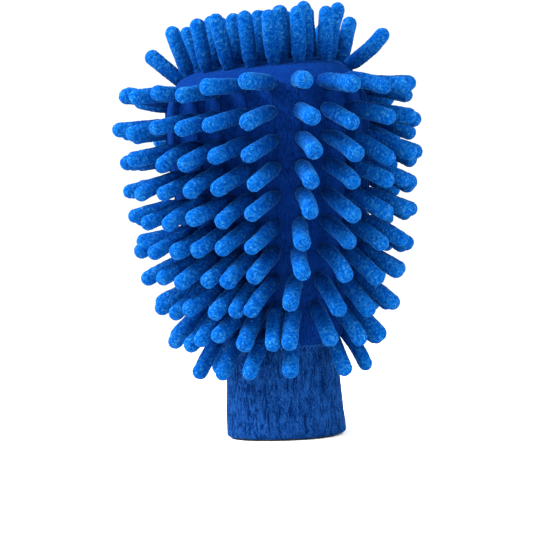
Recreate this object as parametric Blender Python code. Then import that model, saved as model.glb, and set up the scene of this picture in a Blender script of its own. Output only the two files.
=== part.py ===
"""Chenille wash mitt, shaped as a hand fills it, with its opening down.

The frame's origin is the centre of the wrist opening, in the plane of the hem. +Z runs up the hand
to the fingertips, +X is across the palm and -Y is the palm side. All sizes are in metres.

Blender runs it alone: blender --background --python part.py
"""

import math
import random

import bmesh
import bpy
import numpy as np
from mathutils import Matrix, Vector

MM = 0.001

# The bag of backing fabric: its outer surface, from the wrist to the fingertips.
BAG_BOTTOM = 50.5 * MM
SHOULDER = 174 * MM  # the top corners and the domed end start here
CORNER_RADIUS, CORNER_SQUARENESS = 34 * MM, 2.7
BAG_HALF_WIDTH, BAG_HALF_DEPTH = 57.5 * MM, 34 * MM
WRIST_HALF_WIDTH, WRIST_HALF_DEPTH = 33 * MM, 24 * MM
BAG_SWELL = 1.9  # how soon the bag fills out above the wrist
BAG_SQUARENESS, WRIST_SQUARENESS = 3.0, 2.2  # exponents: 2 is an ellipse
PANEL_THICKNESS = 1.6 * MM

# Panels meet at the plane y = 0, with the seam allowance between them.
PANEL_SPLIT = 0.8 * MM
BAG_SEAM_HALF_THICKNESS = 0.5 * MM
BAG_SEAM_INSETS = (0.5 * MM, 3.6 * MM)
LINING_INSETS = (4.6 * MM, 3.0 * MM)  # in width and in depth
LINING_THICKNESS = 0.9 * MM
LINING_SPLIT = 0.6 * MM
LINING_SEAM_HALF_THICKNESS = 0.3 * MM
LINING_SEAM_INSETS = (3.9 * MM, 5.6 * MM)

# The cuff: a knitted tube folded at the hem, so that it has an outer and an inner layer.
CUFF_TOP = 48.8 * MM
HEM_HALF_WIDTH, HEM_HALF_DEPTH = 34 * MM, 24.5 * MM
CUFF_TOP_HALF_WIDTH, CUFF_TOP_HALF_DEPTH = 31.5 * MM, 23 * MM
CUFF_LAYER, CUFF_LAYER_GAP = 1.2 * MM, 0.6 * MM
HEM_ROUNDING = 0.9 * MM
FOLD_HEIGHT = 3 * MM
CUFF_SEAM_HEIGHTS = (49.1 * MM, 50.2 * MM)
CUFF_SEAM_INSETS = (0.6 * MM, 4.4 * MM)

# Chenille noodles. A row is one cord, looped up into noodles and stitched down between them.
NOODLE_LENGTH, NOODLE_RADIUS = 27 * MM, 4.0 * MM
NOODLE_SIDES = 6
ROOT_TAPER, TIP_SHARE = 4 * MM, 0.8
CORD_HALF_WIDTH = 0.7 * MM
CORD_GAP = 1.5 * MM  # under the cord, which leaves room for the row to sway
CORD_OVERHANG = 1.5 * MM
LEAST_BOW = 0.25 * MM  # a stretch that curves less than this is straight
LENGTH_SPREAD, RADIUS_SPREAD, AIM_SPREAD = 0.05, 0.04, math.radians(5)
COLUMNS_PER_FACE = 11
COLUMN_ROWS = 10
FIRST_ROW, ROW_PITCH = 57.5 * MM, 14.8 * MM
SIDE_DROOP = math.radians(11)  # the pile lies lower on the +X side
PARTINGS = {-1: 21 * MM, 1: -10 * MM}  # the x of the line that each face's pile fans away from
FAN, FAN_REACH = math.radians(40), 12 * MM
FAN_DROOP = math.radians(12)  # noodles that fan out lie lower too
# How far the noodles rise above the horizon, in degrees, by the height of their roots.
PITCH_BY_HEIGHT = [
    (57.5 * MM, -60),
    (73 * MM, -44),
    (88 * MM, -31),
    (103 * MM, -25),
    (133 * MM, -18),
    (163 * MM, -13),
    (179 * MM, -8),
    (194 * MM, 5),
]
OUTER_CROWN = {"dome_angle": 62, "count": 7, "half_span": 40 * MM}
INNER_CROWN = {"dome_angle": 85, "count": 5, "half_span": 26 * MM}
CORNER_ROOTS = (38 * MM, 49 * MM)
MOST_LEAN = math.radians(48)  # from the fabric's normal
CROWN_LIFT = 0.6  # the share of straight up that is added to a crown noodle's direction
CORNER_DROOP = 0.15

# Noodles push each other apart until they have this much air between them.
NOODLE_AIR = 1.0 * MM
SPREADING_PASSES = 60
LEAST_LEVER = 0.3  # a push near the root turns a noodle as if it were this far along

# Facets. The noodles have most of the triangles.
PANEL_STEPS, LINING_STEPS = 16, 10
BODY_STEPS, DOME_STEPS = 6, 5
RING_STEPS = 32

COLOURS = {
    "chenille": (0.010, 0.130, 0.560),
    "backing": (0.012, 0.070, 0.330),
    "rib_knit": (0.010, 0.085, 0.400),
    "lining": (0.030, 0.050, 0.130),
    "thread": (0.008, 0.055, 0.270),
}


def mix(start, end, share):
    return start + (end - start) * share


def corner_level(rise):
    """The other leg of a squarish corner's curve, where one leg is a share of its radius."""
    return (1 - rise**CORNER_SQUARENESS) ** (1 / CORNER_SQUARENESS)


def section(height, inset_width=0.0, inset_depth=0.0):
    """Half width, half depth and squareness of the bag at a height, or of a bag that much smaller."""
    share = min(1.0, max(0.0, (height - BAG_BOTTOM) / (SHOULDER - BAG_BOTTOM)))
    swell = 1 - (1 - share) ** BAG_SWELL
    half_width = mix(WRIST_HALF_WIDTH, BAG_HALF_WIDTH, swell) - inset_width
    half_depth = mix(WRIST_HALF_DEPTH, BAG_HALF_DEPTH, swell) - inset_depth
    squareness = mix(WRIST_SQUARENESS, BAG_SQUARENESS, swell)
    if height > SHOULDER:
        radius = CORNER_RADIUS - inset_width
        rise = min(1.0, (height - SHOULDER) / radius)
        level = corner_level(rise)
        half_width -= radius * (1 - level)
        half_depth *= level
    return half_width, half_depth, squareness


def outline_point(half_width, half_depth, squareness, angle):
    """A point of a superellipse. Angle 0 is at +X and 90 degrees at +Y."""
    across, along = math.cos(angle), math.sin(angle)
    x = half_width * math.copysign(abs(across) ** (2 / squareness), across)
    y = half_depth * math.copysign(abs(along) ** (2 / squareness), along)
    return x, y


def outward(point):
    """The bag's outward normal at a point of its surface."""

    def fullness(p):
        half_width, half_depth, squareness = section(p.z)
        return abs(p.x / half_width) ** squareness + abs(p.y / half_depth) ** squareness

    step = 0.05 * MM
    axes = (Vector((step, 0, 0)), Vector((0, step, 0)), Vector((0, 0, step)))
    return Vector([fullness(point + a) - fullness(point - a) for a in axes]).normalized()


def bag_heights(inset):
    """The heights of a bag's rings, from its open end to the top of its dome."""
    radius = CORNER_RADIUS - inset
    body = [mix(BAG_BOTTOM, SHOULDER, i / BODY_STEPS) for i in range(BODY_STEPS)]
    turns = [i / DOME_STEPS * math.pi / 2 for i in range(DOME_STEPS + 1)]
    return body + [SHOULDER + radius * math.sin(turn) for turn in turns]


def loft(rings, looped=False):
    """Points and faces of a skin over rings of as many points each, looped or with flat ends."""
    count = len(rings[0])
    points = [point for ring in rings for point in ring]
    faces = []
    for ring in range(len(rings) if looped else len(rings) - 1):
        low, high = ring * count, (ring + 1) % len(rings) * count
        for i in range(count):
            j = (i + 1) % count
            faces.append((low + i, low + j, high + j, high + i))
    if not looped:
        for first in (0, len(points) - count):
            last = first + count - 1
            faces += [(first + i, first + i + 1, last - i - 1, last - i) for i in range(count // 2 - 1)]
    return points, faces


def material(name):
    made = bpy.data.materials.get(name)
    if not made:
        made = bpy.data.materials.new(name)
        made.use_nodes = True
        shader = made.node_tree.nodes["Principled BSDF"]
        shader.inputs["Base Color"].default_value = (*COLOURS[name], 1)
        shader.inputs["Roughness"].default_value = 0.95
        shader.inputs["Metallic"].default_value = 0
    return made


def add_object(name, shape, material_name, origin=(0, 0, 0)):
    """An object with its origin at a point, made from (points, faces) in the frame."""
    mesh = bpy.data.meshes.new(name)
    mesh.from_pydata([Vector(p) - Vector(origin) for p in shape[0]], [], shape[1])
    graph = bmesh.new()
    graph.from_mesh(mesh)
    bmesh.ops.recalc_face_normals(graph, faces=graph.faces)
    bmesh.ops.triangulate(graph, faces=graph.faces)
    if graph.calc_volume(signed=True) < 0:
        bmesh.ops.reverse_faces(graph, faces=graph.faces)
    graph.to_mesh(mesh)
    graph.free()
    mesh.shade_smooth()
    mesh.set_sharp_from_angle(angle=math.radians(50))
    mesh.materials.append(material(material_name))
    made = bpy.data.objects.new(name, mesh)
    made.location = origin
    bpy.context.scene.collection.objects.link(made)
    return made


def half_bag(name, side, insets, thickness, split, steps, material_name):
    """One panel of a bag: the half at y * side > 0, as a shell with an outer and an inner skin."""

    def arc(height, deeper):
        shape = section(height, insets[0] + deeper, insets[1] + deeper)
        flat = [outline_point(*shape, math.pi * i / steps) for i in range(steps + 1)]
        return [(x, side * (abs(y) + split), height) for x, y in flat]

    outer = bag_heights(insets[0])
    inner = bag_heights(insets[0] + thickness)
    rings = [arc(o, 0) + arc(i, thickness)[::-1] for o, i in zip(outer, inner)]
    return add_object(name, loft(rings), material_name)


def edge_seam(name, half_thickness, insets):
    """The seam allowance round a bag's U-shaped edge, as a strip in the plane y = 0."""
    edges = []
    for inset in insets:
        right = [(section(h, inset)[0], h) for h in bag_heights(inset)]
        edges.append(right + [(-x, h) for x, h in reversed(right)])
    rings = []
    for (outer_x, outer_z), (inner_x, inner_z) in zip(*edges):
        outer = [(outer_x, side * half_thickness, outer_z) for side in (-1, 1)]
        rings.append(outer + [(inner_x, side * half_thickness, inner_z) for side in (1, -1)])
    return add_object(name, loft(rings), "thread")


def swept_ring(name, profile, material_name):
    """A closed profile of (half width, half depth, height) points, swept round the wrist."""
    angles = [2 * math.pi * i / RING_STEPS for i in range(RING_STEPS)]
    rings = [
        [(*outline_point(width, depth, WRIST_SQUARENESS, angle), z) for width, depth, z in profile]
        for angle in angles
    ]
    return add_object(name, loft(rings, looped=True), material_name)


def rib_cuff():
    """The cuff's tube with its fold at the hem, which ends in a narrow flat ring at z = 0."""

    def at(inset, height):
        share = height / CUFF_TOP
        half_width = mix(HEM_HALF_WIDTH, CUFF_TOP_HALF_WIDTH, share) - inset
        return half_width, mix(HEM_HALF_DEPTH, CUFF_TOP_HALF_DEPTH, share) - inset, height

    whole = 2 * CUFF_LAYER + CUFF_LAYER_GAP
    outside = [at(0, CUFF_TOP), at(0, HEM_ROUNDING), at(HEM_ROUNDING, 0)]
    inside = [at(whole - HEM_ROUNDING, 0), at(whole, HEM_ROUNDING), at(whole, CUFF_TOP)]
    inner_layer = [at(whole - CUFF_LAYER, CUFF_TOP), at(whole - CUFF_LAYER, FOLD_HEIGHT)]
    outer_layer = [at(CUFF_LAYER, FOLD_HEIGHT), at(CUFF_LAYER, CUFF_TOP)]
    return swept_ring("rib_cuff", outside + inside + inner_layer + outer_layer, "rib_knit")


def cuff_seam():
    (low, high), (outer, inner) = CUFF_SEAM_HEIGHTS, CUFF_SEAM_INSETS
    corners = [(outer, low), (inner, low), (inner, high), (outer, high)]
    profile = [(WRIST_HALF_WIDTH - i, WRIST_HALF_DEPTH - i, height) for i, height in corners]
    return swept_ring("cuff_seam", profile, "thread")


class Noodle:
    """A straight chenille noodle that stands on the bag, in the row that its name says."""

    def __init__(self, row, surface, aim, dice):
        self.row = row
        self.length = NOODLE_LENGTH * (1 + dice.uniform(-LENGTH_SPREAD, LENGTH_SPREAD))
        self.radius = NOODLE_RADIUS * (1 + dice.uniform(-RADIUS_SPREAD, RADIUS_SPREAD))
        self.normal = outward(surface)
        self.root = surface + self.normal * (CORD_GAP + CORD_HALF_WIDTH)
        shift = [math.tan(dice.uniform(-AIM_SPREAD, AIM_SPREAD)) for _ in range(3)]
        self.turn_to(aim.normalized() + Vector(shift))

    def turn_to(self, aim):
        """Points the noodle along aim, or as near as it can lean."""
        aim = aim.normalized()
        self.aim = aim
        if aim.angle(self.normal) > MOST_LEAN:
            level = (aim - self.normal * aim.dot(self.normal)).normalized()
            self.aim = self.normal * math.cos(MOST_LEAN) + level * math.sin(MOST_LEAN)

    def core(self):
        """The ends of the centreline of the noodle's full-width part."""
        start = self.root + self.aim * ROOT_TAPER
        return start, self.root + self.aim * (self.length - self.radius)

    def solid(self):
        """A pointed root and a slightly tapering prism."""
        side = self.aim.orthogonal().normalized()
        other = self.aim.cross(side)
        turns = [2 * math.pi * i / NOODLE_SIDES for i in range(NOODLE_SIDES)]
        across = [side * math.cos(turn) + other * math.sin(turn) for turn in turns]
        widest = self.root + self.aim * ROOT_TAPER
        tip = self.root + self.aim * self.length
        rings = [[widest + out * self.radius for out in across]]
        rings.append([tip + out * self.radius * TIP_SHARE for out in across])
        points, faces = loft(rings)
        root_fan = [(i, (i + 1) % NOODLE_SIDES, len(points)) for i in range(NOODLE_SIDES)]
        end_cap = faces[-(NOODLE_SIDES // 2 - 1) :]
        return points + [self.root], faces[:NOODLE_SIDES] + root_fan + end_cap


def column_angles():
    """The outline angles of the columns round one face, evenly spaced along the fabric."""
    shape = section(FIRST_ROW + ROW_PITCH * COLUMN_ROWS / 2)
    angles = np.linspace(0, math.pi, 2001)
    points = [outline_point(*shape, angle) for angle in angles]
    steps = [math.dist(a, b) for a, b in zip(points, points[1:])]
    along = np.concatenate([[0], np.cumsum(steps)])
    wanted = (np.arange(COLUMNS_PER_FACE) + 0.5) / COLUMNS_PER_FACE * along[-1]
    return np.interp(wanted, along, angles)


def column_noodle(row, face, angle, height, dice):
    x, y = outline_point(*section(height), angle)
    surface = Vector((x, face * y, height))
    normal = outward(surface)
    heights, pitches = zip(*PITCH_BY_HEIGHT)
    pitch = math.radians(np.interp(height, heights, pitches)) - SIDE_DROOP * x / BAG_HALF_WIDTH
    level = Vector((normal.x, normal.y, 0)).normalized()
    fan = math.tanh((x - PARTINGS[face]) / FAN_REACH) * abs(level.y)
    level.rotate(Matrix.Rotation(-face * fan * FAN, 3, "Z"))
    pitch -= FAN_DROOP * abs(fan)
    aim = level * math.cos(pitch) + Vector((0, 0, math.sin(pitch)))
    return Noodle(row, surface, aim, dice)


def crown_noodles(row, face, dome_angle, count, half_span, dice):
    """A row across the domed end, on the palm side (face -1) or the back of the hand (face 1)."""
    height = SHOULDER + CORNER_RADIUS * math.sin(math.radians(dome_angle))
    half_width, half_depth, squareness = section(height)
    noodles = []
    for i in range(count):
        x = half_span * (2 * i / (count - 1) - 1)
        y = face * half_depth * (1 - abs(x / half_width) ** squareness) ** (1 / squareness)
        surface = Vector((x, y, height))
        noodles.append(Noodle(row, surface, outward(surface) + Vector((0, 0, CROWN_LIFT)), dice))
    return noodles


def corner_noodles(row, side, dice):
    noodles = []
    for reach in CORNER_ROOTS:
        level = (reach - BAG_HALF_WIDTH + CORNER_RADIUS) / CORNER_RADIUS
        height = SHOULDER + CORNER_RADIUS * corner_level(level)
        surface = Vector((side * reach, 0, height))
        aim = outward(surface) - Vector((0, 0, CORNER_DROOP))
        noodles.append(Noodle(row, surface, aim, dice))
    return noodles


def nearest(first, second):
    """The nearest points of two segments, and how far along each they are, from 0 to 1."""
    p, q = first[0], second[0]
    u, v, w = first[1] - p, second[1] - q, p - q
    uu, uv, vv, uw, vw = u.dot(u), u.dot(v), v.dot(v), u.dot(w), v.dot(w)
    flat = uu * vv - uv * uv
    s = min(1.0, max(0.0, (uv * vw - vv * uw) / flat)) if flat else 0.5
    t = min(1.0, max(0.0, (uv * s + vw) / vv))
    s = min(1.0, max(0.0, (uv * t - uw) / uu))
    return p + u * s, q + v * t, s, t


def spread_apart(noodles):
    """Turns noodles about their roots until each has air round it."""
    pairs = [
        (a, b)
        for i, a in enumerate(noodles)
        for b in noodles[i + 1 :]
        if (a.root - b.root).length < 2 * NOODLE_LENGTH
    ]
    for _ in range(SPREADING_PASSES):
        for a, b in pairs:
            near_a, near_b, share_a, share_b = nearest(a.core(), b.core())
            apart = near_b - near_a
            short = a.radius + b.radius + NOODLE_AIR - apart.length
            if short > 0:
                push = apart.normalized() * short / 2
                a.turn_to(a.aim - push / (a.length * max(share_a, LEAST_LEVER)))
                b.turn_to(b.aim + push / (b.length * max(share_b, LEAST_LEVER)))


def noodle_rows():
    """Every row's noodles, by the row's name."""
    dice = random.Random(5)
    noodles = []
    for face_name, face in (("front", -1), ("back", 1)):
        for column, angle in enumerate(column_angles(), start=1):
            name = f"{face_name}_noodles_{column:02d}"
            # The gathered end has room for every other column.
            first = column % 2
            for level in range(first, COLUMN_ROWS):
                height = FIRST_ROW + level * ROW_PITCH
                noodles.append(column_noodle(name, face, angle, height, dice))
        noodles += crown_noodles(f"{face_name}_outer_crown", face, **OUTER_CROWN, dice=dice)
        noodles += crown_noodles(f"{face_name}_inner_crown", face, **INNER_CROWN, dice=dice)
    for side_name, side in (("left", -1), ("right", 1)):
        noodles += corner_noodles(f"{side_name}_corner_noodles", side, dice)
    spread_apart(noodles)
    rows = {}
    for noodle in noodles:
        rows.setdefault(noodle.row, []).append(noodle)
    return rows


def root_line(row):
    """The centre and the direction of the straight line along a row's roots, on which it sways."""
    roots = np.array([noodle.root for noodle in row])
    centre = roots.mean(axis=0)
    along = Vector(np.linalg.svd(roots - centre)[2][0])
    if max(along, key=abs) < 0:
        along.negate()
    return Vector(centre), along


def cord_path(row):
    """Points and normals through a row's roots, with one between two roots where the fabric curves."""
    path = [(row[0].root, row[0].normal)]
    for before, after in zip(row, row[1:]):
        chord = after.root - before.root
        bow = chord.length / 2 * math.tan(before.normal.angle(after.normal) / 4)
        if bow > LEAST_BOW:
            normal = (before.normal + after.normal).normalized()
            path.append(((before.root + after.root) / 2 + normal * bow, normal))
        path.append((after.root, after.normal))
    return path


def row_cord(row):
    """The stitched-down stretches of a row's cord, which run through its noodles' roots."""
    stations, normals = zip(*cord_path(row))
    start = (stations[0] - stations[1]).normalized() * CORD_OVERHANG
    end = (stations[-1] - stations[-2]).normalized() * CORD_OVERHANG
    stations = [stations[0] + start, *stations[1:-1], stations[-1] + end]
    rings = []
    for i, (station, normal) in enumerate(zip(stations, normals)):
        ahead = stations[min(i + 1, len(stations) - 1)] - stations[max(i - 1, 0)]
        across = ahead.cross(normal).normalized() * CORD_HALF_WIDTH
        out = across.cross(ahead).normalized() * CORD_HALF_WIDTH
        corners = [across + out, out - across, -across - out, across - out]
        rings.append([station + corner for corner in corners])
    return loft(rings)


def joined(name, shapes, material_name, origin):
    """One object that is the Boolean union of several shapes."""
    whole = add_object(name, shapes[0], material_name, origin)
    others = bpy.data.collections.new(name)
    for shape in shapes[1:]:
        others.objects.link(add_object(f"{name}_piece", shape, material_name, origin))
    union = whole.modifiers.new("union", "BOOLEAN")
    union.operation = "UNION"
    union.operand_type = "COLLECTION"
    union.collection = others
    evaluated = whole.evaluated_get(bpy.context.evaluated_depsgraph_get())
    mesh = bpy.data.meshes.new_from_object(evaluated)
    whole.modifiers.clear()
    whole.data = mesh
    for piece in list(others.objects):
        bpy.data.objects.remove(piece)
    bpy.data.collections.remove(others)
    return whole


def pile():
    for name, row in noodle_rows().items():
        shapes = [row_cord(row)] + [noodle.solid() for noodle in row]
        joined(name, shapes, "chenille", origin=root_line(row)[0])


def main():
    for old in list(bpy.data.objects):
        bpy.data.objects.remove(old)
    panel = ((0, 0), PANEL_THICKNESS, PANEL_SPLIT, PANEL_STEPS, "backing")
    lining = (LINING_INSETS, LINING_THICKNESS, LINING_SPLIT, LINING_STEPS, "lining")
    for face_name, face in (("front", -1), ("back", 1)):
        half_bag(f"{face_name}_panel", face, *panel)
        half_bag(f"{face_name}_lining", face, *lining)
    edge_seam("bag_seam", BAG_SEAM_HALF_THICKNESS, BAG_SEAM_INSETS)
    edge_seam("lining_seam", LINING_SEAM_HALF_THICKNESS, LINING_SEAM_INSETS)
    rib_cuff()
    cuff_seam()
    pile()


main()
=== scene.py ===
"""Looks of the chenille wash mitt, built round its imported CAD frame. All sizes are in metres."""

import itertools
import math
import random

import bmesh
import bpy
import numpy as np
from mathutils import Matrix, Vector
from mathutils.bvhtree import BVHTree


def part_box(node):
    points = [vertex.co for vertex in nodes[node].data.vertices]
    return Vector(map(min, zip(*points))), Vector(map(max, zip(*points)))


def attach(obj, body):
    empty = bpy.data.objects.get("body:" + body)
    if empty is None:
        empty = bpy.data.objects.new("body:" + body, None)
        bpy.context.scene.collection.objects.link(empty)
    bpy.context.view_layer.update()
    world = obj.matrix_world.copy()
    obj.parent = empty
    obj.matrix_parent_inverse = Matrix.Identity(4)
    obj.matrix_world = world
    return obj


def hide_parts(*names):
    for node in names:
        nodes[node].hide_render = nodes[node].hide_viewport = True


MM = 0.001
SEED = 11

# Camera: level, a little to the palm's +X side, and rolled so that the mitt leans.
CAMERA_DISTANCE, CAMERA_AZIMUTH, CAMERA_HEIGHT = 0.705, math.radians(19), 94 * MM
CAMERA_ASIDE, CAMERA_ROLL, CAMERA_LENS = -5.4 * MM, math.radians(3.5), 85.0

# Studio. A soft box has its azimuth and elevation in degrees, distance and size in metres, and watts.
SOFT_BOXES = {
    "right_box": (75, 25, 1.0, 0.6, 10),
    "front_left_box": (-58, 40, 0.9, 0.35, 26),
}
MITT_MIDDLE = Vector((0, 0, 0.12))
WORLD_STRENGTH = 1.1
FLOOR_COLOUR, FLOOR_HALF_WIDTH, FLOOR_DROP = (0.97, 0.97, 0.97, 1), 20, 1 * MM

# How the CAD's noodle prisms stand for round noodles.
WELD = 0.01 * MM
PRISM_SIDES, TIP_SHARE, ROOT_TAPER = 6, 0.8, 4 * MM
LEAST_SIDE, MOST_UNEVEN = 2 * MM, 1.04  # of a prism's end cap

# Noodles of chenille yarn.
NOODLE_PLUMPNESS = 1.06  # of the CAD prism's corner radius
NOODLE_STEPS, SHAFT_RINGS, TIP_RINGS = 56, 42, 10
LAST_SWING = math.radians(86)  # the last ring's angle round the tip
PATH_POINTS = 60
LEAVING, ROOT_PULL, TIP_PULL = 0.6, 0.3, 0.34  # how a noodle turns from the fabric to its aim
BASE_SINK = 0.7 * MM  # the pile starts inside the fabric
BASE_PINCH, PINCH_LENGTH = 0.74, 6 * MM
MOST_BEND, CLUB = 2.2 * MM, 0.08
OPEN_REACH = 0.3  # crown and corner noodles stand clear of the rest, so light gets to their roots: their painted root shade is weaker, as if they began this far along
LOOP_SIZE = (1.0 * MM, 0.55 * MM)  # the loops of the pile, round the noodle and along it
LOOP_HEIGHT, FUZZ_HEIGHT = 0.17 * MM, 0.08 * MM
LUMP_SIZE, LUMP_HEIGHT = 5 * MM, 0.20 * MM
FUZZ_SCALE = 1.9  # fuzz is this much finer than the loops

# The yarn that each row is looped from, lying on the fabric.
YARN_RADIUS, YARN_LIFT, YARN_STEPS, YARN_PITCH = 0.5 * MM, -0.2 * MM, 10, 0.7 * MM
YARN_TWIST, YARN_OVERHANG = 2.4 * MM, 1.5 * MM
YARN_PLIES, YARN_SWELL, YARN_SMOOTHINGS = 2, 0.14, 3
COLUMN_HEIGHT = 0.1  # a row that reaches over more height than this is upright

# Fabric made by refining the CAD's panels.
PANEL_LEVELS, LINING_LEVELS, SEAM_LEVELS = 4, 3, 2
FLAT_ENOUGH, SQUARE_ENOUGH = math.radians(50), math.radians(60)  # for joining triangles
SHARP = math.radians(55)
NAP_HEIGHT, PUCKER_HEIGHT, SEAM_NAP_HEIGHT = 0.12 * MM, 0.3 * MM, 0.03 * MM
STRAND_SIZE, CLOUD_SIZE = (0.9 * MM, 0.9 * MM, 3.5 * MM), 7 * MM
PUCKER_WIDTH, PUCKER_REACH, PUCKER_LENGTH = 5 * MM, 22 * MM, 30 * MM
MEAN_RADIUS, DEPTH_SHARE = 40 * MM, 0.6  # of the bag where it is gathered
EDGE_FADE = 3 * MM
BAG_SEAM_SPREAD, LINING_SEAM_SPREAD = 1.9, 2.4  # squeezed out until it meets both panels

# The rib-knit cuff, folded at its hem.
CUFF_STEPS, CUFF_PITCH, HIDDEN_PITCH = 720, 0.6 * MM, 2.5 * MM
CUFF_SQUARENESS = 2.2
CUFF_TAPER = (0.928, 0.94)  # the top's half width and depth, as shares of the hem's
CUFF_LAYER, CUFF_LAYER_GAP = 1.2 * MM, 0.6 * MM
WRINKLE_WIDTH, WRINKLE_LENGTH, WRINKLE_DEPTH = 0.9 * MM, 7 * MM, 0.36 * MM
CREASE_WIDTH, CREASE_LENGTH, CREASE_DEPTH = 2.2 * MM, 9 * MM, 0.22 * MM
WANDER_SIZE, WANDER = 4 * MM, 1.1 * MM
SAG_SIZE, SAG_DEPTH = 14 * MM, 0.5 * MM
RELIEF, INNER_RELIEF = 0.8, -0.4  # the inner layer follows the outer one's wrinkles more weakly
FOLD_STEPS = 9

# Overlock stitches round the top of the cuff.
STITCH_COUNT, STITCH_RADIUS, STITCH_LENGTH, STITCH_SLANT = 84, 0.28 * MM, 2.4 * MM, 0.5
STITCH_STEPS, STITCH_POINTS = 8, 7
STITCH_CLEARANCE, STITCH_BELLY = 0.9 * MM, 0.035


def noise_value(cells, seed):
    """A repeatable random value from 0 to 1 for each cell of a 3-D lattice."""
    mixed = cells @ np.array([73856093, 19349663, 83492791]) + seed * 26544357
    mixed = (mixed ^ (mixed >> 13)) * 1274126177 & 0xFFFFFFFF
    mixed = (mixed ^ (mixed >> 16)) * 668265263 & 0xFFFFFFFF
    return ((mixed ^ (mixed >> 15)) & 0xFFFF) / 0xFFFF


def noise(places, seed=SEED):
    """Smooth noise from -1 to 1 with lumps one unit wide, at an array of points."""
    cells = np.floor(places).astype(np.int64)
    part = places - cells
    part = part * part * (3 - 2 * part)
    total = 0
    for corner in itertools.product((0, 1), repeat=3):
        weight = np.prod(np.where(corner, part, 1 - part), axis=-1)
        total = total + weight * noise_value(cells + np.array(corner), seed)
    return 2 * total - 1


def smooth_step(share):
    """A share from 0 to 1 that eases in and out."""
    share = np.clip(share, 0, 1)
    return share * share * (3 - 2 * share)


# ---- Meshes ----


def grid_faces(rings, steps, start=0):
    """Quads between rings of points, each ring joined round."""
    first = np.arange(rings - 1)[:, None] * steps + np.arange(steps)[None, :]
    turn = np.roll(np.arange(steps), -1)[None, :] - np.arange(steps)[None, :]
    quads = np.stack([first, first + turn, first + turn + steps, first + steps], axis=-1)
    return (quads.reshape(-1, 4) + start).tolist()


def closed_tube(rings, start=0):
    """Points and faces of a tube of rings, with a fan of triangles at each end."""
    count, steps = rings.shape[:2]
    points = np.concatenate([rings.reshape(-1, 3), rings[:1].mean(1), rings[-1:].mean(1)])
    faces = grid_faces(count, steps, start)
    low, high = start + count * steps, start + count * steps + 1
    last = start + (count - 1) * steps
    for i in range(steps):
        j = (i + 1) % steps
        faces.append((start + j, start + i, low))
        faces.append((last + i, last + j, high))
    return points, faces


def along_path(path):
    """Distances, directions and two side directions at each point of a path, without twist."""
    path = np.asarray(path, float)
    gaps = np.linalg.norm(np.diff(path, axis=0), axis=1)
    lengths = np.concatenate([[0], np.cumsum(gaps)])
    ahead = np.gradient(path, axis=0)
    ahead /= np.linalg.norm(ahead, axis=1)[:, None]
    side = np.array(Vector(ahead[0]).orthogonal().normalized())
    sides = []
    for direction in ahead:
        side = side - direction * side.dot(direction)
        side = side / np.linalg.norm(side)
        sides.append(side)
    sides = np.array(sides)
    return lengths, ahead, sides, np.cross(ahead, sides)


def add_attribute(mesh, label, values):
    """A number or a vector for each of a mesh's points, for its material to read."""
    values = np.asarray(values, np.float32)
    kind, field = ("FLOAT", "value") if values.ndim == 1 else ("FLOAT_VECTOR", "vector")
    mesh.attributes.new(label, kind, "POINT").data.foreach_set(field, values.ravel())


def add_piece(name, points, faces, finish, body, attributes=None):
    """A smooth-shaded piece of the mitt that rides on a CAD body."""
    mesh = bpy.data.meshes.new(name)
    mesh.from_pydata([tuple(p) for p in points], [], faces)
    mesh.update()
    mesh.shade_smooth()
    for label, values in (attributes or {}).items():
        add_attribute(mesh, label, values)
    mesh.materials.append(finish)
    piece = bpy.data.objects.new(name, mesh)
    bpy.context.scene.collection.objects.link(piece)
    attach(piece, body)
    return piece


# ---- Noodles ----


def read_noodles(node):
    """The root, tip, aim and corner radius of each prism in a CAD row, from the prisms' end caps."""
    shape = bmesh.new()
    shape.from_mesh(node.data)
    bmesh.ops.remove_doubles(shape, verts=shape.verts[:], dist=WELD)
    bmesh.ops.dissolve_limit(
        shape, angle_limit=math.radians(1), verts=shape.verts[:], edges=shape.edges[:]
    )
    found = []
    for face in shape.faces:
        edges = [edge.calc_length() for edge in face.edges]
        regular = max(edges) < MOST_UNEVEN * min(edges)
        if len(edges) != PRISM_SIDES or not regular or min(edges) < LEAST_SIDE:
            continue
        tip, aim = face.calc_center_median(), face.normal.copy()
        links = [edge for v in face.verts for edge in v.link_edges if face not in edge.link_faces]
        widest = [v.co for edge in links for v in edge.verts if v not in face.verts]
        depth = max((tip - place).dot(aim) for place in widest)
        radius = sum(edges) / PRISM_SIDES / TIP_SHARE
        found.append((tip - aim * (depth + ROOT_TAPER), tip, aim, radius))
    shape.free()
    return found


def panel_surface(nodes):
    """A search tree of the outside of both panels."""
    points, faces = [], []
    for name in ("front_panel", "back_panel"):
        mesh = nodes[name].data
        start = len(points)
        points += [v.co.copy() for v in mesh.vertices]
        faces += [[start + i for i in face.vertices] for face in mesh.polygons]
    return BVHTree.FromPolygons(points, faces)


def outside(surface, point):
    """The nearest point of the fabric, and the direction away from it."""
    place, _, _, _ = surface.find_nearest(point)
    return place, (point - place).normalized()


def noodle_path(root, tip, aim, radius, surface, dice):
    """A centreline that rises out of the fabric and turns along the noodle's aim."""
    base, normal = outside(surface, root)
    across = aim.orthogonal().normalized()
    across.rotate(Matrix.Rotation(dice.uniform(0, 2 * math.pi), 3, aim))
    bend = across * MOST_BEND * dice.random() ** 2
    start = base - normal * BASE_SINK
    length = (tip - start).length
    controls = [
        start,
        start + (normal * LEAVING + aim).normalized() * length * ROOT_PULL + bend,
        tip - aim * length * TIP_PULL + bend,
        tip - bend * 0.5,
    ]
    shares = np.linspace(0, 1, PATH_POINTS)[:, None]
    weights = [
        (1 - shares) ** 3,
        3 * shares * (1 - shares) ** 2,
        3 * shares**2 * (1 - shares),
        shares**3,
    ]
    return sum(weight * np.array(point) for weight, point in zip(weights, controls))


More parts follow.
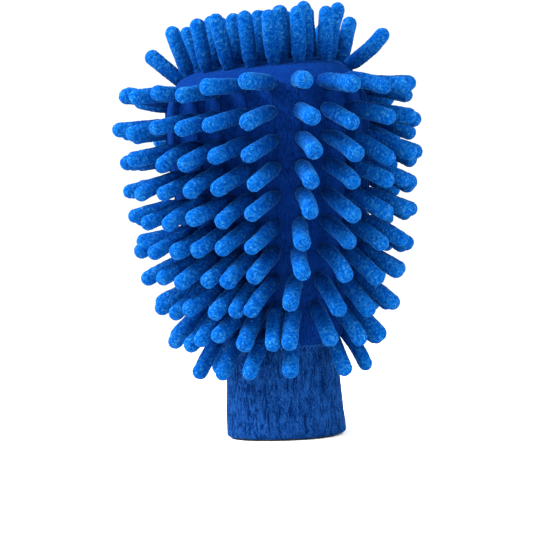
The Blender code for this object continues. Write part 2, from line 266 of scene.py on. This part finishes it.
def on_straight_noodle(radius, turns, along):
    """Where each point of the rings is on a straight noodle, counted in loops of the pile."""
    across, length = LOOP_SIZE
    shape = (len(along), len(turns))
    return np.stack(
        [
            np.broadcast_to(radius * np.cos(turns) / across, shape),
            np.broadcast_to(radius * np.sin(turns) / across, shape),
            np.broadcast_to(along[:, None] / length, shape),
        ],
        axis=-1,
    )


def noodle_rings(path, radius, dice):
    """Rings of pile round a centreline, with a rounded tip, and where each point is on the noodle:
    its place on a straight noodle, how far it stands out, and how far it is along."""
    lengths = along_path(path)[0]
    full = lengths[-1]
    swing = np.linspace(0, math.pi / 2, TIP_RINGS + 1)[1:]
    swing[-1] = LAST_SWING
    shaft = np.linspace(0, full - radius, SHAFT_RINGS)
    along = np.concatenate([shaft, full - radius + radius * np.sin(swing)])
    round_tip = np.concatenate([np.ones(SHAFT_RINGS), np.cos(swing)])
    pinch = BASE_PINCH + (1 - BASE_PINCH) * smooth_step(along / PINCH_LENGTH)
    club = 1 + CLUB * dice.uniform(-0.6, 1) * (along / full - 0.5) * 2
    width = radius * round_tip * pinch * club
    centre = np.stack([np.interp(along, lengths, path[:, i]) for i in range(3)], axis=-1)
    _, ahead, side, other = along_path(centre)
    turns = np.arange(NOODLE_STEPS) / NOODLE_STEPS * 2 * math.pi
    wheel = np.cos(turns)[None, :, None], np.sin(turns)[None, :, None]
    out = side[:, None, :] * wheel[0] + other[:, None, :] * wheel[1]
    tilt = np.concatenate([np.zeros(SHAFT_RINGS), swing])[:, None, None]
    normal = out * np.cos(tilt) + ahead[:, None, :] * np.sin(tilt)

    start = np.array([dice.uniform(0, 500) for _ in range(3)])
    round_it = on_straight_noodle(radius, turns, along)
    loops = noise(round_it + start)
    fuzz = noise(round_it * FUZZ_SCALE + start + 50)
    place = centre[:, None, :] + out * width[:, None, None]
    lumps = noise(place / LUMP_SIZE + start)
    rise = LOOP_HEIGHT * loops + FUZZ_HEIGHT * fuzz + LUMP_HEIGHT * lumps
    rings = place + normal * rise[..., None]
    wrap = (round_it * np.array([LOOP_SIZE[0], LOOP_SIZE[0], LOOP_SIZE[1]])) + start * MM
    # pile follows the loops and fuzz that raise the surface; the chenille paints shade where it is low
    # and light where it is high.
    pile = 0.5 + 0.35 * loops + 0.25 * fuzz
    reach = np.broadcast_to((along / full)[:, None], pile.shape)
    return rings, wrap, pile, reach


def with_ends(values):
    """A ring's values, with one more for each end's middle point."""
    middles = np.stack([values[0].mean(0), values[-1].mean(0)])
    return np.concatenate([values.reshape(-1, *values.shape[2:]), middles])


def noodle_row(name, node, surface, finish):
    """Every noodle of a row as one piece."""
    dice = random.Random(name)
    # reach carries the painted root shade; open noodles start part way along, so their roots are
    # painted less dark.
    least = 0.0 if "noodles" in name and "corner" not in name else OPEN_REACH
    points, faces, wrap, pile, reach, shade = [], [], [], [], [], []
    for root, tip, aim, corner in read_noodles(node):
        radius = corner * NOODLE_PLUMPNESS
        path = noodle_path(root, tip, aim, radius, surface, dice)
        rings, ring_wrap, ring_pile, ring_reach = noodle_rings(path, radius, dice)
        more, quads = closed_tube(rings, sum(len(p) for p in points))
        points.append(more)
        faces += quads
        wrap.append(with_ends(ring_wrap))
        pile.append(with_ends(ring_pile))
        reach.append(with_ends(least + (1 - least) * ring_reach))
        shade.append(np.full(len(more), dice.random()))
    attributes = {
        "wrap": np.concatenate(wrap),
        "pile": np.concatenate(pile),
        "reach": np.concatenate(reach),
        "shade": np.concatenate(shade),
    }
    piece = add_piece("pile_" + name, np.concatenate(points), faces, finish, name, attributes)
    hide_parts(name)
    return piece


def row_yarn(name, node, surface, finish):
    """The yarn that joins a row's noodles, lying on the fabric between them."""
    noodles = read_noodles(node)
    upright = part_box(name)[1].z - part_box(name)[0].z > COLUMN_HEIGHT
    noodles.sort(key=lambda noodle: noodle[0].z if upright else noodle[0].x)
    roots = [noodle[0] for noodle in noodles]
    ends = [(roots[0] - roots[1]).normalized(), (roots[-1] - roots[-2]).normalized()]
    roots = [roots[0] + ends[0] * YARN_OVERHANG, *roots, roots[-1] + ends[1] * YARN_OVERHANG]
    path = []
    for here, there in zip(roots, roots[1:]):
        count = max(2, round((there - here).length / YARN_PITCH))
        for i in range(count):
            place, normal = outside(surface, here.lerp(there, i / count))
            path.append(place + normal * YARN_LIFT)
    path = np.array(path)
    for _ in range(YARN_SMOOTHINGS):
        path[1:-1] = (path[:-2] + 2 * path[1:-1] + path[2:]) / 4
    lengths, _, side, other = along_path(path)
    turns = np.arange(YARN_STEPS) / YARN_STEPS * 2 * math.pi
    spin = lengths[:, None] / YARN_TWIST * 2 * math.pi
    swell = np.cos(YARN_PLIES * (turns[None, :] + spin))
    radius = YARN_RADIUS * (1 - YARN_SWELL + YARN_SWELL * swell)
    rings = path[:, None, :] + radius[..., None] * (
        side[:, None, :] * np.cos(turns)[None, :, None]
        + other[:, None, :] * np.sin(turns)[None, :, None]
    )
    points, faces = closed_tube(rings)
    piece = add_piece("yarn_" + name, points, faces, finish, name)
    return piece


# ---- Sewn cloth ----


def refined(node, levels):
    """A finer, smoother copy of a CAD node's mesh, which keeps its edges."""
    shape = bmesh.new()
    shape.from_mesh(node.data)
    bmesh.ops.remove_doubles(shape, verts=shape.verts[:], dist=WELD)
    bmesh.ops.join_triangles(
        shape,
        faces=shape.faces[:],
        angle_face_threshold=FLAT_ENOUGH,
        angle_shape_threshold=SQUARE_ENOUGH,
    )
    creases = shape.edges.layers.float.new("crease_edge")
    for edge in shape.edges:
        if edge.calc_face_angle(0) > SHARP:
            edge[creases] = 1.0
    mesh = bpy.data.meshes.new(node.name + "_fine")
    shape.to_mesh(mesh)
    shape.free()
    carrier = bpy.data.objects.new(node.name + "_fine", mesh)
    bpy.context.scene.collection.objects.link(carrier)
    finer = carrier.modifiers.new("finer", "SUBSURF")
    finer.levels = finer.render_levels = levels
    graph = bpy.context.evaluated_depsgraph_get()
    result = bpy.data.meshes.new_from_object(carrier.evaluated_get(graph))
    bpy.data.objects.remove(carrier)
    bpy.data.meshes.remove(mesh)
    return result


def mesh_points(mesh):
    """A mesh's points and their normals as arrays."""
    points, normals = np.zeros(len(mesh.vertices) * 3), np.zeros(len(mesh.vertices) * 3)
    mesh.vertices.foreach_get("co", points)
    mesh.vertex_normals.foreach_get("vector", normals)
    return points.reshape(-1, 3), normals.reshape(-1, 3)


def cloth_from_node(name, node, levels, finish, nap, pucker, spread=1):
    """A sewn panel: the CAD's shape with a nap, and gathers where it meets the cuff."""
    mesh = refined(node, levels)
    points, normals = mesh_points(mesh)
    low = points[:, 2].min()
    strands = noise(points / np.array(STRAND_SIZE))
    lumps = noise(points / CLOUD_SIZE, SEED + 1)
    near = 1 - smooth_step((points[:, 2] - low) / PUCKER_REACH)
    angle = np.arctan2(points[:, 1], points[:, 0] * DEPTH_SHARE)
    around = angle * MEAN_RADIUS / PUCKER_WIDTH
    places = np.stack([around, points[:, 2] / PUCKER_LENGTH, angle * 0], -1)
    folds = noise(places, SEED + 2) * smooth_step((points[:, 2] - low) / EDGE_FADE) * near
    rise = nap * (strands * 0.6 + lumps) + pucker * folds
    points = (points + normals * rise[:, None]) * np.array([1, spread, 1])
    mesh.vertices.foreach_set("co", points.ravel())
    add_attribute(mesh, "pile", 0.5 + 0.5 * strands)
    mesh.update()
    mesh.shade_smooth()
    mesh.materials.clear()
    mesh.materials.append(finish)
    piece = bpy.data.objects.new(name, mesh)
    bpy.context.scene.collection.objects.link(piece)
    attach(piece, "bag")
    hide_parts(node.name)
    return piece


def outline(half_width, half_depth, angles):
    """Points of the cuff's rounded outline at some angles."""
    across, along = np.cos(angles), np.sin(angles)
    power = 2 / CUFF_SQUARENESS
    x = half_width * np.sign(across) * np.abs(across) ** power
    y = half_depth * np.sign(along) * np.abs(along) ** power
    return x, y


def cuff_profile(height):
    """Insets and heights from the top of the outer layer, round the fold, to the inner layer's top."""
    fold = CUFF_LAYER + CUFF_LAYER_GAP / 2
    rows = round((height - fold) / CUFF_PITCH)
    outer = [(0, z) for z in np.linspace(height, fold, rows)]
    turns = np.linspace(0, math.pi, FOLD_STEPS)[1:-1]
    bend = [(fold - fold * math.cos(t), fold - fold * math.sin(t)) for t in turns]
    rows = round((height - fold) / HIDDEN_PITCH)
    inner = [(2 * fold, z) for z in np.linspace(fold, height, 2 * rows)]
    back = [(2 * fold - CUFF_LAYER, z) for z in np.linspace(height, 3 * MM, rows)]
    front = [(CUFF_LAYER, z) for z in np.linspace(3 * MM, height, rows)]
    return np.array(outer + bend + inner + back + front)


def cuff_rings(profile, low, high):
    """Smooth rings of the cuff, which narrows from its hem to its top."""
    height = high.z - low.z
    angles = np.arange(CUFF_STEPS) / CUFF_STEPS * 2 * math.pi
    rings = []
    for inset, z in profile:
        share = z / height
        half_width = high.x * (1 + (CUFF_TAPER[0] - 1) * share) - inset
        half_depth = high.y * (1 + (CUFF_TAPER[1] - 1) * share) - inset
        x, y = outline(half_width, half_depth, angles)
        rings.append(np.stack([x, y, np.full_like(x, z + low.z)], -1))
    return np.array(rings)


def cuff_relief(rings):
    """Wrinkles and creases of the knit from -1 to 1, and how far its wall stands out in all."""
    wander = WANDER * noise(rings / WANDER_SIZE, SEED + 3)[..., None] * np.array([1, 1, 0])
    around = np.array([WRINKLE_WIDTH, WRINKLE_WIDTH, WRINKLE_LENGTH])
    wrinkles = 1 - 2 * np.abs(noise((rings + wander) / around, SEED + 4))
    around = np.array([CREASE_WIDTH, CREASE_WIDTH, CREASE_LENGTH])
    creases = noise((rings + wander) / around, SEED + 5)
    sag = noise(rings / SAG_SIZE, SEED + 6)
    calm = smooth_step(rings[..., 2] / EDGE_FADE)
    rise = WRINKLE_DEPTH * wrinkles * (0.4 + 0.6 * calm) + CREASE_DEPTH * creases
    rise = (rise - WRINKLE_DEPTH) * RELIEF + SAG_DEPTH * sag * calm
    return wrinkles, creases, rise


def cuff(finish):
    """The cuff: a knitted tube folded double at the hem, with fine irregular wrinkles up its wall."""
    low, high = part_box("rib_cuff")
    profile = cuff_profile(high.z - low.z)
    rings = cuff_rings(profile, low, high)
    wrinkles, creases, rise = cuff_relief(rings)
    flat = rings * np.array([1, 1, 0])
    out = flat / np.linalg.norm(flat, axis=-1)[..., None]
    outer = (profile[:, 0] < CUFF_LAYER * 0.99)[:, None]
    inner = (profile[:, 0] > 2 * CUFF_LAYER)[:, None]
    strength = np.where(outer, 1.0, np.where(inner, INNER_RELIEF, 0.0))
    rings = rings + out * (rise * strength)[..., None]
    count = len(rings)
    faces = grid_faces(count, CUFF_STEPS)
    last = (count - 1) * CUFF_STEPS
    for i in range(CUFF_STEPS):
        j = (i + 1) % CUFF_STEPS
        faces.append((last + i, last + j, j, i))
    # pile follows the wrinkles' and creases' relief; the knit paints shade in their valleys and light
    # on their ridges.
    pile = 0.5 + 0.28 * wrinkles + 0.15 * creases
    piece = add_piece("cuff", rings.reshape(-1, 3), faces, finish, "bag", {"pile": pile.ravel()})
    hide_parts("rib_cuff")
    return piece


def cuff_stitches(finish):
    """Slanted overlock stitches over the seam between the cuff and the bag."""
    low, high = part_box("cuff_seam")
    middle = (low.z + high.z) / 2
    points, faces = [], []
    turns = np.arange(STITCH_STEPS) / STITCH_STEPS * 2 * math.pi
    for i in range(STITCH_COUNT):
        angle = 2 * math.pi * i / STITCH_COUNT
        path = []
        for share in np.linspace(-1, 1, STITCH_POINTS):
            turn = angle + STITCH_SLANT * share * math.pi / STITCH_COUNT
            half_width, half_depth = high.x + STITCH_CLEARANCE, high.y + STITCH_CLEARANCE
            x, y = outline(half_width, half_depth, np.array([turn]))
            belly = 1 - STITCH_BELLY * share**2
            path.append((x[0] * belly, y[0] * belly, middle + share * STITCH_LENGTH / 2))
        _, _, side, other = along_path(path)
        ring = side[:, None, :] * np.cos(turns)[None, :, None]
        ring = ring + other[:, None, :] * np.sin(turns)[None, :, None]
        rings = np.array(path)[:, None, :] + ring * STITCH_RADIUS
        more, quads = closed_tube(rings, sum(len(p) for p in points))
        points.append(more)
        faces += quads
    piece = add_piece("cuff_stitches", np.concatenate(points), faces, finish, "bag")
    return piece


# ---- Materials ----


class Finish:
    """A Principled material, with short calls for the nodes that colour and roughen it."""

    def __init__(self, name, roughness, sheen, sheen_roughness, sheen_tint):
        self.material = bpy.data.materials.new(name)
        self.material.use_nodes = True
        self.tree = self.material.node_tree
        self.shader = next(n for n in self.tree.nodes if n.type == "BSDF_PRINCIPLED")
        self.shader.inputs["Roughness"].default_value = roughness
        self.shader.inputs["Specular IOR Level"].default_value = 0.01
        self.shader.inputs["Sheen Weight"].default_value = sheen
        self.shader.inputs["Sheen Roughness"].default_value = sheen_roughness
        self.shader.inputs["Sheen Tint"].default_value = (*sheen_tint, 1)
        self.coords = self.node("ShaderNodeTexCoord").outputs["Object"]

    def node(self, kind, **inputs):
        """A new node, with its inputs set or linked."""
        made = self.tree.nodes.new(kind)
        for key, value in inputs.items():
            self.put(made.inputs[key.replace("_", " ")], value)
        return made

    def put(self, socket, value):
        """Link a socket to another one, or set its value."""
        if isinstance(value, bpy.types.NodeSocket):
            self.tree.links.new(value, socket)
        else:
            socket.default_value = value

    def attribute(self, name, output="Fac"):
        """A number or vector that the mesh carries."""
        made = self.node("ShaderNodeAttribute")
        made.attribute_name = name
        return made.outputs[output]

    def grain(self, size, stretch=(1, 1, 1), detail=3.0, places=None):
        """Noise with grains of the size given, drawn out by stretch."""
        mapping = self.node("ShaderNodeMapping", Vector=places or self.coords)
        mapping.inputs["Scale"].default_value = [1 / (size * s) for s in stretch]
        made = self.node("ShaderNodeTexNoise", Vector=mapping.outputs[0], Scale=1.0, Detail=detail)
        return made.outputs["Fac"]

    def ramp(self, value, stops):
        """A value turned into colours, from its stops' places and linear RGB."""
        made = self.node("ShaderNodeValToRGB", Fac=value)
        points = made.color_ramp.elements
        while len(points) < len(stops):
            points.new(0.5)
        for point, (place, colour) in zip(points, stops):
            point.position = place
            point.color = (*colour, 1)
        return made.outputs["Color"]

    def blend(self, share, first, second, kind="MIX"):
        """Two colours mixed."""
        made = self.node("ShaderNodeMix")
        made.data_type = "RGBA"
        made.blend_type = kind
        self.put(made.inputs[0], share)
        for socket, value in ((made.inputs[6], first), (made.inputs[7], second)):
            self.put(socket, (*value, 1) if isinstance(value, tuple) else value)
        return made.outputs[2]

    def math(self, kind, *values):
        """One sum, with numbers or sockets."""
        made = self.node("ShaderNodeMath")
        made.operation = kind
        for socket, value in zip(made.inputs, values):
            self.put(socket, value)
        return made.outputs[0]

    def colour(self, value):
        """The surface's own colour."""
        self.put(self.shader.inputs["Base Color"], value)

    def bump(self, heights, distance, strength=1.0):
        """Fine relief that the mesh is too coarse to hold."""
        made = self.node("ShaderNodeBump", Height=heights, Distance=distance, Strength=strength)
        self.put(self.shader.inputs["Normal"], made.outputs[0])


def chenille():
    """Cut-loop pile: mottled blue, darker between its loops and towards its root, where shade is
    painted in.
    """
    finish = Finish("chenille", 0.95, 0.35, 0.25, (0.10, 0.45, 1.0))
    fine = finish.grain(0.4 * MM, (1.8, 1.8, 1.0), 2.0, finish.attribute("wrap", "Vector"))
    flecks = finish.math("MULTIPLY_ADD", fine, 0.9, -0.45)
    height = finish.math("ADD", finish.attribute("pile"), flecks)
    # Painted shade and light: the pile attribute follows the loops' relief, so the colour is darker in
    # their hollows and paler on their crests; the fine grain adds mottle.
    tone = finish.ramp(
        height,
        [
            (0.00, (0.000, 0.018, 0.140)),
            (0.38, (0.000, 0.048, 0.255)),
            (0.66, (0.004, 0.088, 0.295)),
            (1.00, (0.045, 0.180, 0.350)),
        ],
    )
    # Painted shade towards the root, where the noodles shade each other: darker and bluer at the base,
    # full colour from 0.85 of the way along.
    root = finish.ramp(
        finish.attribute("reach"),
        [(0.0, (0.10, 0.24, 0.40)), (0.5, (0.40, 0.52, 0.62)), (0.85, (1.0,) * 3)],
    )
    tone = finish.blend(1.0, tone, root, "MULTIPLY")
    each = finish.ramp(finish.attribute("shade"), [(0.0, (0.86, 0.88, 0.9)), (1.0, (1.0,) * 3)])
    finish.colour(finish.blend(1.0, tone, each, "MULTIPLY"))
    finish.bump(finish.math("ADD", finish.attribute("pile"), fine), 0.22 * MM, 0.8)
    return finish.material


def napped(name, dark, light, sheen, stretch=(1, 1, 5)):
    """Short brushed nap with its strands drawn down the cloth."""
    finish = Finish(name, 0.95, sheen, 0.4, (0.05, 0.4, 1.0))
    strands = finish.grain(0.45 * MM, stretch)
    clouds = finish.grain(4 * MM)
    tone = finish.ramp(strands, [(0.3, dark), (0.7, light)])
    cloud = finish.ramp(clouds, [(0.3, (0.8,) * 3), (0.7, (1.0,) * 3)])
    finish.colour(finish.blend(1.0, tone, cloud, "MULTIPLY"))
    finish.bump(strands, 0.25 * MM, 0.7)
    return finish.material


def rib_knit():
    """A fine wrinkled knit: dark in its creases, which is painted shade, with short fibres over it."""
    finish = Finish("rib_knit", 0.95, 0.25, 0.25, (0.08, 0.4, 1.0))
    fibres = finish.grain(0.35 * MM, (1, 1, 3.5), 3.0)
    crinkle = finish.math("MULTIPLY_ADD", fibres, 1.8, -0.9)
    height = finish.math("ADD", finish.attribute("pile"), crinkle)
    # Painted shade: the pile attribute follows the wrinkles' relief, so the knit is darker in their
    # valleys and lighter on their ridges.
    tone = finish.ramp(
        height,
        [(0.05, (0.000, 0.003, 0.025)), (0.5, (0.001, 0.016, 0.090)), (1.0, (0.008, 0.055, 0.210))],
    )
    finish.colour(tone)
    finish.bump(fibres, 0.5 * MM, 1.0)
    return finish.material


def thread():
    """Twisted sewing thread."""
    finish = Finish("thread", 0.6, 0.2, 0.4, (0.3, 0.6, 1.0))
    twist = finish.grain(0.25 * MM, (1, 1, 2))
    finish.colour(finish.ramp(twist, [(0.3, (0.002, 0.03, 0.16)), (0.7, (0.01, 0.09, 0.38))]))
    finish.bump(twist, 0.1 * MM)
    return finish.material


# ---- Scene ----


def add_camera():
    """The camera that the main picture is taken with."""
    data = bpy.data.cameras.new("camera")
    data.lens = CAMERA_LENS
    data.clip_start = 0.01
    camera = bpy.data.objects.new("camera", data)
    back = Vector((math.sin(CAMERA_AZIMUTH), -math.cos(CAMERA_AZIMUTH), 0))
    right = Vector((math.cos(CAMERA_AZIMUTH), math.sin(CAMERA_AZIMUTH), 0))
    up = Vector((0, 0, 1))
    place = back * CAMERA_DISTANCE + right * CAMERA_ASIDE + up * CAMERA_HEIGHT
    turned_right = right * math.cos(CAMERA_ROLL) - up * math.sin(CAMERA_ROLL)
    turned_up = up * math.cos(CAMERA_ROLL) + right * math.sin(CAMERA_ROLL)
    turn = Matrix((turned_right, turned_up, back)).transposed().to_4x4()
    camera.matrix_world = Matrix.Translation(place) @ turn
    bpy.context.scene.collection.objects.link(camera)
    bpy.context.scene.camera = camera


def add_light(name, azimuth, elevation, distance, size, power):
    """A soft box that faces the middle of the mitt. Azimuth 0 is on the palm's side."""
    data = bpy.data.lights.new(name, "AREA")
    data.size = size
    data.energy = power
    light = bpy.data.objects.new(name, data)
    azimuth, elevation = math.radians(azimuth), math.radians(elevation)
    level = math.cos(elevation)
    away = Vector((math.sin(azimuth) * level, -math.cos(azimuth) * level, math.sin(elevation)))
    light.location = away * distance + MITT_MIDDLE
    light.rotation_euler = away.to_track_quat("Z", "Y").to_euler()
    bpy.context.scene.collection.objects.link(light)


def add_studio():
    """A white room, a pale floor, and soft boxes to the right and the front left."""
    scene = bpy.context.scene
    scene.view_settings.view_transform = "Standard"
    world = bpy.data.worlds.new("studio")
    world.use_nodes = True
    sky = world.node_tree.nodes["Background"]
    sky.inputs["Color"].default_value = (1, 1, 1, 1)
    sky.inputs["Strength"].default_value = WORLD_STRENGTH
    scene.world = world

    shape = bmesh.new()
    bmesh.ops.create_grid(shape, x_segments=1, y_segments=1, size=FLOOR_HALF_WIDTH)
    mesh = bpy.data.meshes.new("floor")
    shape.to_mesh(mesh)
    shape.free()
    pale = bpy.data.materials.new("floor")
    pale.use_nodes = True
    shader = pale.node_tree.nodes["Principled BSDF"]
    shader.inputs["Base Color"].default_value = FLOOR_COLOUR
    shader.inputs["Roughness"].default_value = 0.9
    mesh.materials.append(pale)
    floor = bpy.data.objects.new("floor", mesh)
    floor.location.z = -FLOOR_DROP
    scene.collection.objects.link(floor)

    for name, settings in SOFT_BOXES.items():
        add_light(name, *settings)


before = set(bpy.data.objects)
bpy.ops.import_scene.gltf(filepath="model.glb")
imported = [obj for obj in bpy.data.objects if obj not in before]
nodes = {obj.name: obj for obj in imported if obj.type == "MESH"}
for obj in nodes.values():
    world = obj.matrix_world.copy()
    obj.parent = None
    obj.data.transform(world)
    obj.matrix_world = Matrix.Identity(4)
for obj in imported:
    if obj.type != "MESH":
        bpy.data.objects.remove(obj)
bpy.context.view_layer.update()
add_camera()
add_studio()

surface = panel_surface(nodes)
pile_finish = chenille()
backing = napped("backing", (0.000, 0.006, 0.060), (0.002, 0.028, 0.175), 0.08)
lining = napped("lining", (0.010, 0.020, 0.070), (0.035, 0.060, 0.170), 0.2, (1, 1, 2))
knit = rib_knit()
sewing = thread()

rows = sorted(name for name in nodes if "noodles" in name or "crown" in name)
for row in rows:
    noodle_row(row, nodes[row], surface, pile_finish)
    row_yarn(row, nodes[row], surface, backing)

for face in ("front", "back"):
    cloth_from_node(
        face + "_backing", nodes[face + "_panel"], PANEL_LEVELS, backing,
        NAP_HEIGHT, PUCKER_HEIGHT,
    )
    cloth_from_node(
        face + "_lining_cloth", nodes[face + "_lining"], LINING_LEVELS, lining,
        NAP_HEIGHT, PUCKER_HEIGHT * 0.5,
    )
for seam, finish, slot, spread in (
    ("bag_seam", backing, "backing", BAG_SEAM_SPREAD),
    ("lining_seam", lining, "lining", LINING_SEAM_SPREAD),
    ("cuff_seam", sewing, "thread", 1),
):
    cloth_from_node(seam + "_strip", nodes[seam], SEAM_LEVELS, finish, SEAM_NAP_HEIGHT, 0, spread)
cuff(knit)
cuff_stitches(sewing)
